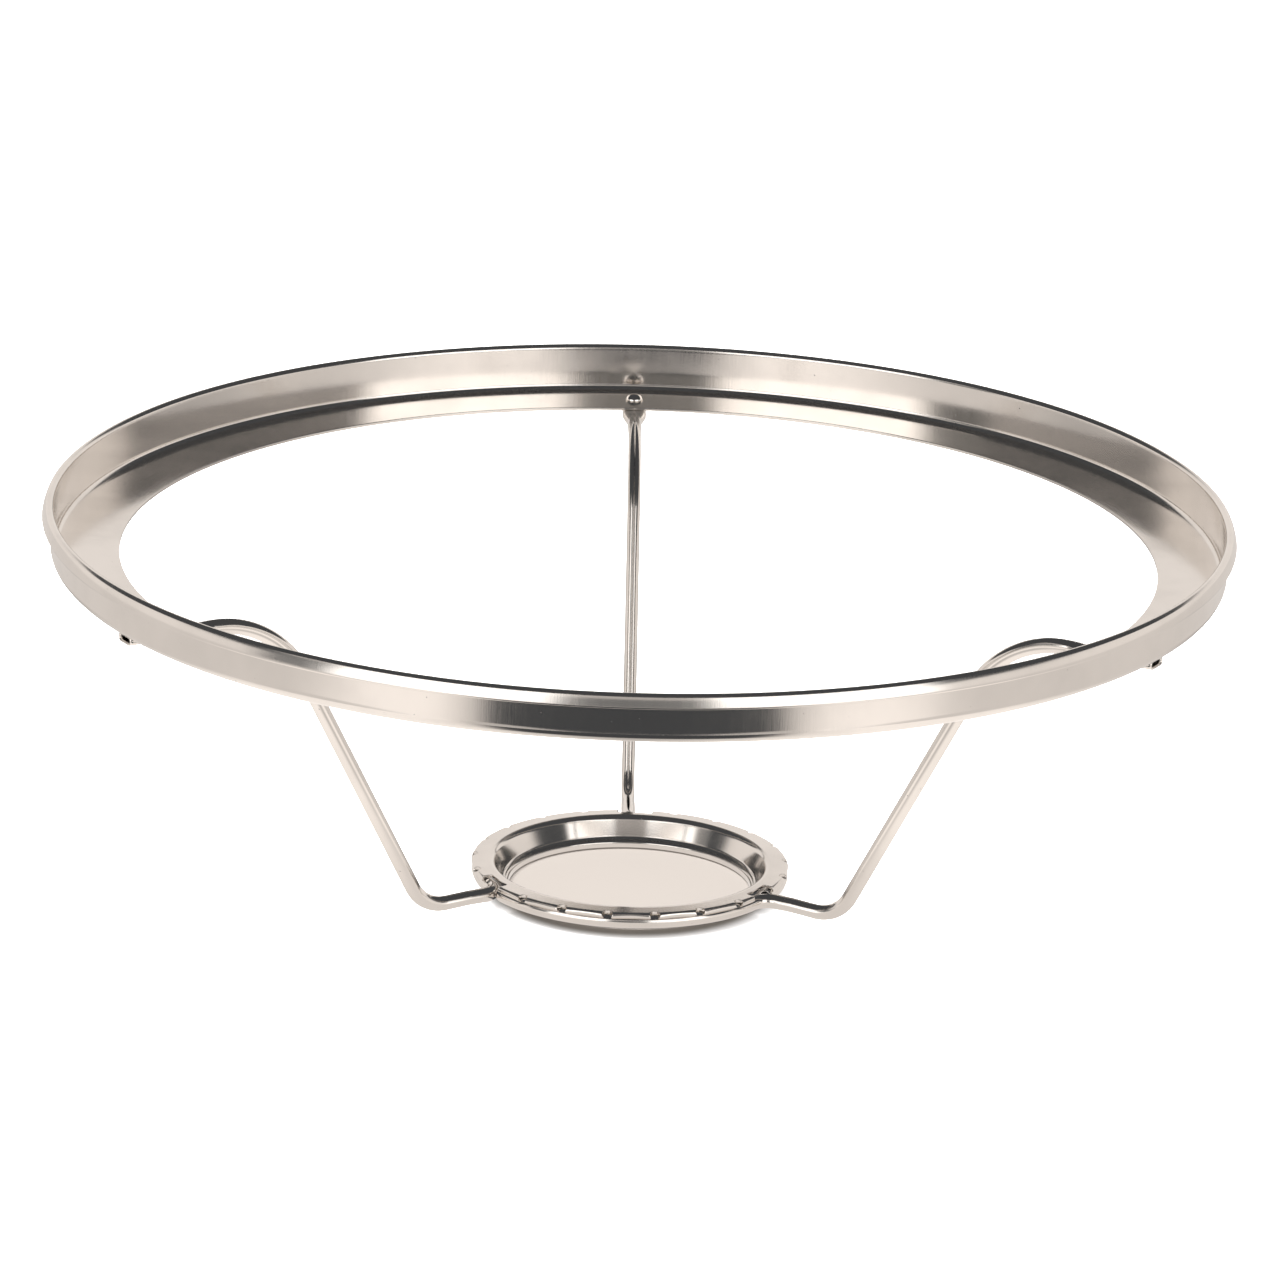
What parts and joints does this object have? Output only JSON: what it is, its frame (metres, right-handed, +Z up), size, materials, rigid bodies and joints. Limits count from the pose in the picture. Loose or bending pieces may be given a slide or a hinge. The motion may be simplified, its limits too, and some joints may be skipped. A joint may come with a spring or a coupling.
{
  "type": "oil lamp shade holder",
  "caption": "Tripod shade holder for an oil lamp: a wide curled ring that seats a glass shade, carried on bent tube arms from a small burner ring.",
  "frame": {"origin": "on the lamp axis, at the flat underside of the burner ring", "axes": "+Z up along the lamp axis, towards the shade; the back arm stands 1 degree past +Y"},
  "size_m": [0.258, 0.258, 0.0868],
  "materials": {
    "ring_plate": "warm polished nickel plate, fine drawing lines",
    "base_plate": "warm polished nickel plate, soft pressed grain",
    "arm_plate": "warm polished nickel plate",
    "rivet_plate": "warm polished nickel plate"
  },
  "bodies": {
    "root": {"shade_ring": "ring_plate", "base_ring": "base_plate", "arm_back": "arm_plate", "arm_left": "arm_plate", "arm_right": "arm_plate", "rivet_back": "rivet_plate", "rivet_left": "rivet_plate", "rivet_right": "rivet_plate"}
  },
  "joints": []
}
